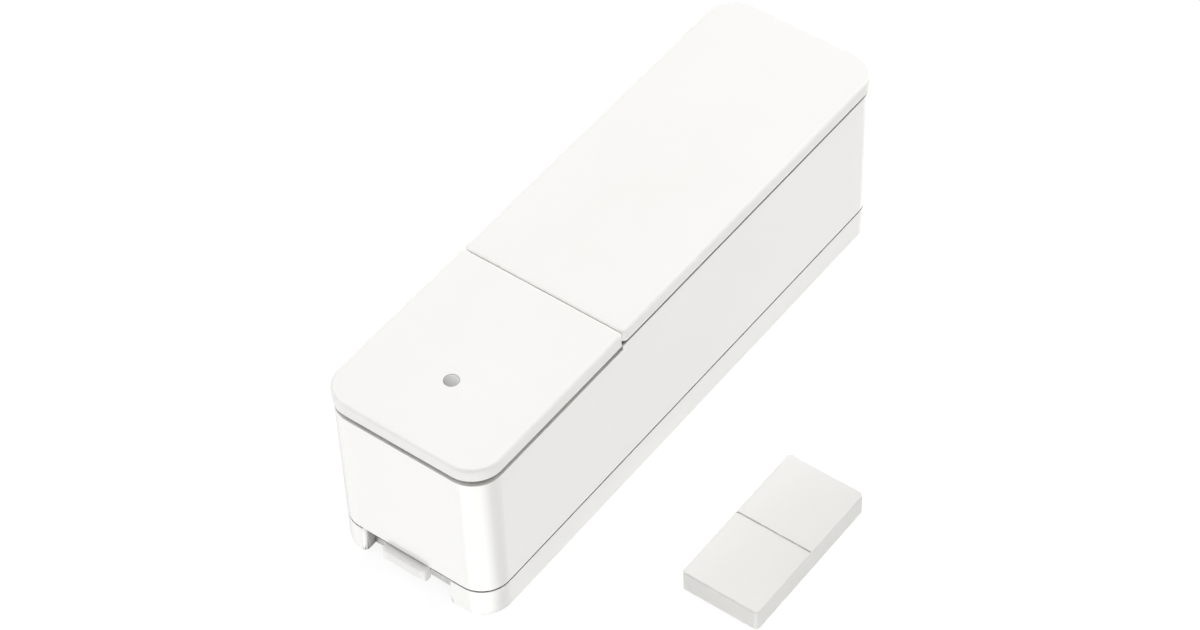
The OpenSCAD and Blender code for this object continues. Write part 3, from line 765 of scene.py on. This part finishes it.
# Each node's material, and its mould or bend radius in millimetres
CAD_FINISH = {
    "mounting_plate": (PLATE, 0.06), "release_latch": (LATCH, 0.06), "housing_shell": (HOUSING, 0.05),
    "rear_cover": (SHELL, 0.05), "button_cap": (SHELL, 0.05), "light_guide": (LENS, 0.04),
    "magnet_case": (MAGNET_SHELL, 0.04), "magnet_base": (INNER, 0.08), "bar_magnet": (MAGNET_NICKEL, 0.12),
    "chassis": (INNER, 0.08), "circuit_board": (BOARD, 0.03), "radio_shield": (TIN, 0.12),
    "processor_chip": (EPOXY, 0.06), "switch_body": (EPOXY, 0.08), "switch_bezel": (TIN, 0.04),
    "switch_plunger": (ACETAL, 0.2), "reed_glass": (GLASS, 0.0), "battery_core": (WOUND_FOIL, 0.3),
    "battery_positive_contact": (NICKEL_STRIP, 0.06), "battery_spring_contact": (NICKEL_STRIP, 0.06),
}


def finish_cad_nodes():
    """Gives the CAD nodes that stay their materials and small edge radii."""
    for name, (material, radius_mm) in CAD_FINISH.items():
        node = frame["nodes"][name]
        node.data.materials.clear()
        node.data.materials.append(material)
        if radius_mm:
            soften(node, radius_mm)


# ---- Camera, floor and light ----

def from_angles(azimuth, elevation):
    """Unit vector towards an azimuth, in degrees from -Y towards +X, and an elevation."""
    turn, rise = math.radians(azimuth), math.radians(elevation)
    return Vector((math.sin(turn) * math.cos(rise), -math.cos(turn) * math.cos(rise), math.sin(rise)))


def make_camera():
    """A long lens that looks down on the button's end and the magnet's side."""
    aim = Vector((0.4, -3.4, 14)) * MM
    distance = 456.8 * MM
    back = from_angles(38.7, 48.13)
    roll = math.radians(-2.52)
    camera = bpy.data.objects.new("studio_camera", bpy.data.cameras.new("studio_camera"))
    camera.data.lens = 107.18
    camera.data.clip_start = 0.01
    camera.data.clip_end = 10
    turn = (-back).to_track_quat("-Z", "Y").to_matrix() @ Matrix.Rotation(roll, 3, "Z")
    camera.matrix_world = Matrix.LocRotScale(aim + back * distance, turn, None)
    scene.collection.objects.link(camera)
    scene.camera = camera


def stage_piece(name, shape, material):
    """Makes studio equipment of a bmesh in metres; it isn't part of the object."""
    piece = object_of(name, shape)
    piece.data.materials.append(material)
    return piece


def backlit_acrylic():
    """Opal acrylic table lit from below: it glows almost evenly, so that shadows on it stay very faint."""
    material, tree = new_material("backlit_acrylic")
    sockets = {"Base Color": colour("#6A6A6A"), "Roughness": 0.9, "Emission Color": colour("#FFFFFF")}
    sockets["Emission Strength"] = 0.87
    shader = add(tree, "ShaderNodeBsdfPrincipled", sockets)
    add(tree, "ShaderNodeOutputMaterial", {"Surface": shader})
    return material


def make_floor():
    """The table top, a hair under the wall plate's back."""
    half = 3.0
    drop = 0.02 * MM
    shape = bmesh.new()
    corners = [(x * half, y * half, -drop) for x, y in ((-1, -1), (1, -1), (1, 1), (-1, 1))]
    shape.faces.new([shape.verts.new(corner) for corner in corners])
    floor = stage_piece("floor", shape, backlit_acrylic())
    # The gloss of the housing mirrors the light band under the table instead of the table
    floor.visible_glossy = False


# How strongly the band under the table glows, by azimuth in degrees: the near upright corner mirrors
# its brightest stretch
BAND_GLOW = [
    (-141, 0.5), (-120, 0.6), (-80, 1.4), (-39, 2.5), (-16, 3.2), (-4, 5.8), (52, 5.2), (86, 1.1),
    (104, 0.7), (124, 0.9), (134, 1.3), (156, 1.3), (176, 2.1), (200, 2.1), (219, 0.9),
]


def band_light():
    """A light that is as strong as the glow that each point of the band carries."""
    material, tree = new_material("graded_light_band")
    glow = add(tree, "ShaderNodeAttribute", attribute_name="glow")
    light = add(tree, "ShaderNodeEmission", {"Strength": glow.outputs["Fac"]})
    add(tree, "ShaderNodeOutputMaterial", {"Surface": light})
    material.cycles.emission_sampling = "NONE"
    return material


def make_light_band():
    """A graded ring of light, one metre away under the table, that shows only in the housing's gloss."""
    elevations = (-74, -48, -22)
    shape = bmesh.new()
    strength = shape.verts.layers.float.new("glow")
    rungs = []
    for azimuth, value in BAND_GLOW:
        rung = [shape.verts.new(from_angles(azimuth, elevation)) for elevation in elevations]
        for vert in rung:
            vert[strength] = value
        rungs.append(rung)
    for left, right in zip(rungs, rungs[1:]):
        for k in range(len(elevations) - 1):
            shape.faces.new((left[k], right[k], right[k + 1], left[k + 1]))
    stage_piece("light_band", shape, band_light())


def softbox(name, azimuth, elevation, distance, size, power):
    """A rectangular light, at a distance and size in metres and a power in watts, that faces the object."""
    light = bpy.data.lights.new(name, "AREA")
    light.shape = "RECTANGLE"
    light.size, light.size_y = size
    light.energy = power
    lamp = bpy.data.objects.new(name, light)
    towards = from_angles(azimuth, elevation)
    lamp.location = towards * distance
    lamp.rotation_mode = "QUATERNION"
    lamp.rotation_quaternion = (-towards).to_track_quat("-Z", "Y")
    scene.collection.objects.link(lamp)


def make_lights():
    """Softboxes above, right, behind and left, the band under the table and no light from the room."""
    world = bpy.data.worlds.new("studio")
    scene.world = world
    world.use_nodes = True
    background = world.node_tree.nodes["Background"].inputs
    background["Strength"].default_value = 0.0
    softbox("overhead_softbox", azimuth=0, elevation=90, distance=1.0, size=(1.0, 1.0), power=8.0)
    softbox("right_softbox", azimuth=66, elevation=20, distance=1.05, size=(0.5, 0.4), power=2.5)
    softbox("back_softbox", azimuth=180, elevation=20, distance=1.05, size=(0.5, 0.4), power=7.4)
    softbox("left_softbox", azimuth=300, elevation=20, distance=1.05, size=(0.5, 0.4), power=4.4)
    make_light_band()
    scene.view_settings.view_transform = "Standard"


finish_cad_nodes()
make_pads()
make_screws()
make_capacitors()
make_antenna()
make_lamp()
make_reed_parts()
make_test_pads()
make_solder_joints()
make_traces()
make_cell_can()
make_cell_film()
make_cell_terminal()
make_camera()
make_floor()
make_lights()
